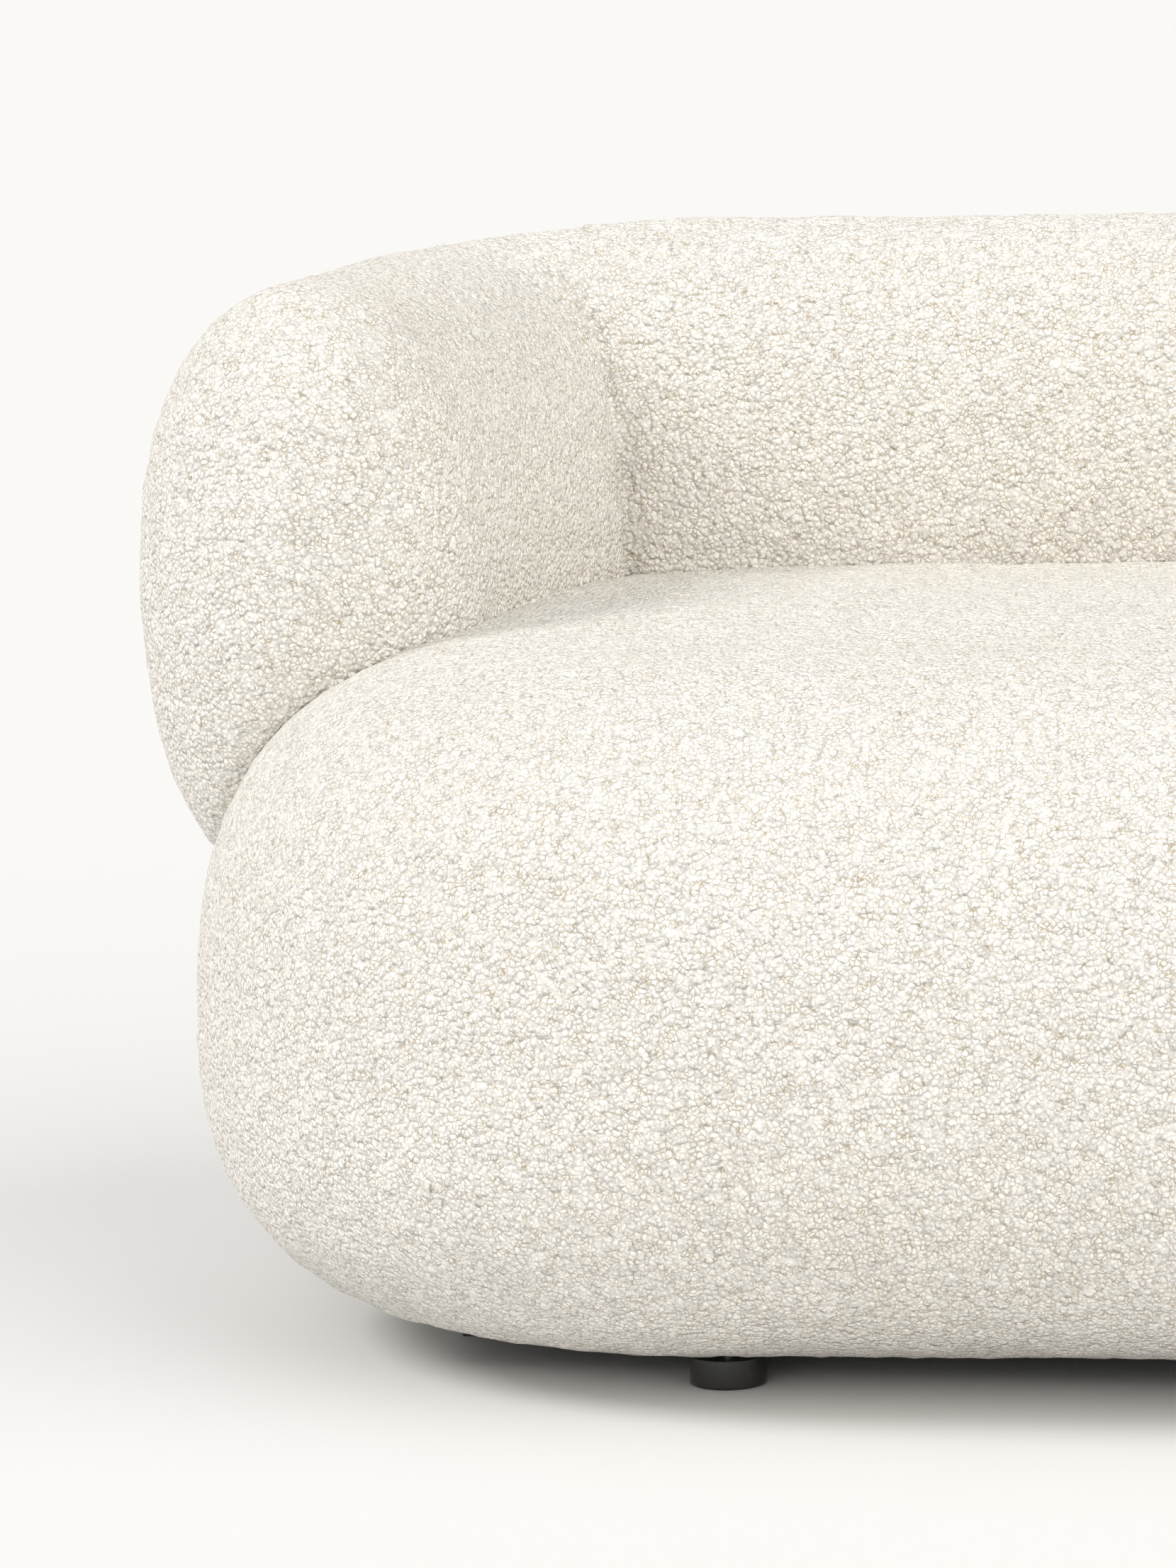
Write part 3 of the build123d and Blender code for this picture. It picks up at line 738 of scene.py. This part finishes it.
def roll_pieces():
    skin = make_roll("roll_cover_skin")
    rest_on_seat(skin)
    wad = inner_layer(skin, "roll_wadding_layer", WADDING_INSET)
    core = inner_layer(skin, "roll_foam_layer", FOAM_INSET)
    points = coordinates(skin)
    resting = points[:, 2] <= seat_surface_height(points[:, 0], points[:, 1]) + 0.001
    from_corner_x = np.abs(points[:, 0]) + INNER_CORNER_X
    from_corner_y = points[:, 1] - (REAR_Y - ROLL_THICK)
    valley = np.hypot(from_corner_x, from_corner_y) < HELD_VALLEY
    swell(skin, np.where(resting | valley, 1.0, 0.0), cap=ROLL_SWELL)
    subdivide(skin, 2)
    sew_valleys(skin)
    relief(skin, SEED + 10)
    for layer in (wad, core):
        subdivide(layer, 1)
        sew_valleys(layer)
    finish_piece(skin, "boucle", "back_cover", "left_arm_cover", "right_arm_cover")
    finish_piece(wad, "wadding", "back_wadding", "left_arm_wadding", "right_arm_wadding")
    finish_piece(core, "foam", "back_foam", "left_arm_foam", "right_arm_foam")


def underside_cloth():
    """Black cloth stapled under the seat, a little slack between its edges."""
    low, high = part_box("dust_cover")
    thick = 0.0006
    columns, rows = 120, 40
    sheets = []
    for level in (low.z, low.z + thick):
        for j in range(rows + 1):
            for i in range(columns + 1):
                u, v = 2 * i / columns - 1, 2 * j / rows - 1
                # squircle mapping rounds the rectangle's corners
                x = u * math.sqrt(1 - v * v * 0.5 * 0.12)
                y = v * math.sqrt(1 - u * u * 0.5 * 0.45)
                sag = 0.002 * (1 - u ** 4) * (1 - v ** 4)
                wave = 0.0006 * math.sin(9 * u + 3 * v) * (1 - v * v)
                sheets.append((x * high.x, (low.y + high.y) / 2 + y * (high.y - low.y) / 2,
                               level - sag + wave))
    count = (rows + 1) * (columns + 1)
    faces = [tuple(reversed(f)) for f in grid_faces(rows + 1, columns + 1, False)]
    faces += grid_faces(rows + 1, columns + 1, False, count)
    rim = ([j * (columns + 1) for j in range(rows + 1)]
           + [rows * (columns + 1) + i for i in range(1, columns + 1)]
           + [j * (columns + 1) + columns for j in range(rows - 1, -1, -1)]
           + [i for i in range(columns - 1, 0, -1)])
    for a, b in zip(rim, rim[1:] + rim[:1]):
        faces.append((a, b, b + count, a + count))
    sheet = new_object("underside_cloth", sheets, faces)
    finish_piece(sheet, "dust_cloth", "dust_cover")


# ---------------------------------------------------------------- stage, light and camera
def make_floor():
    size = 60.0
    floor = new_object("floor", [(-size, -size, 0), (size, -size, 0), (size, size, 0), (-size, size, 0)],
                       [(0, 1, 2, 3)], smooth=False)
    n = Nodes("floor")
    floor.data.materials.append(n.surface((0.731, 0.729, 0.724, 1), 0.9, Specular_IOR_Level=0.1))


def make_lights():
    """An even white sky, a soft key from the upper left and two broad fills."""
    world = bpy.data.worlds.new("studio")
    world.use_nodes = True
    background = world.node_tree.nodes["Background"]
    background.inputs["Color"].default_value = (1.0, 0.995, 0.985, 1)
    background.inputs["Strength"].default_value = 0.65
    bpy.context.scene.world = world
    for name, way, strength, spread_deg, colour in (
            ("key", (0.73, 0.15, -0.66), 1.60, 22, (1.0, 0.99, 0.975)),
            ("front_fill", (0.12, 0.95, -0.24), 0.72, 40, (1.0, 0.99, 0.975)),
            ("right_fill", (-0.74, 0.32, -0.59), 1.50, 75, (1.0, 0.980, 0.95))):
        lamp = bpy.data.lights.new(name, "SUN")
        lamp.energy = strength
        lamp.angle = math.radians(spread_deg)
        lamp.color = colour
        obj = bpy.data.objects.new(name, lamp)
        obj.rotation_euler = Vector(way).to_track_quat("-Z", "Y").to_euler()
        bpy.context.scene.collection.objects.link(obj)


def make_camera():
    """Long lens, a little above the sofa, turned to its left end and tilted slightly."""
    turn, down, tilt = (math.radians(angle) for angle in CAMERA_ANGLES)
    across = Vector((math.cos(turn), math.sin(turn), 0))
    level = Vector((-math.sin(turn), math.cos(turn), 0))
    ahead = level * math.cos(down) - Vector((0, 0, 1)) * math.sin(down)
    upward = Vector((0, 0, 1)) * math.cos(down) + level * math.sin(down)
    right = across * math.cos(tilt) - upward * math.sin(tilt)
    top = upward * math.cos(tilt) + across * math.sin(tilt)
    data = bpy.data.cameras.new("camera")
    data.lens = CAMERA_LENS
    data.sensor_width = 36
    data.clip_end = 200
    camera = bpy.data.objects.new("camera", data)
    turned = Matrix((right, top, -ahead)).transposed().to_4x4()
    camera.matrix_world = Matrix.Translation(CAMERA_PLACE) @ turned
    bpy.context.scene.collection.objects.link(camera)
    bpy.context.scene.camera = camera


bpy.context.scene.view_settings.view_transform = "Standard"
make_camera()
make_floor()
dress_cad_nodes()
seat_pieces()
roll_pieces()
underside_cloth()
make_lights()
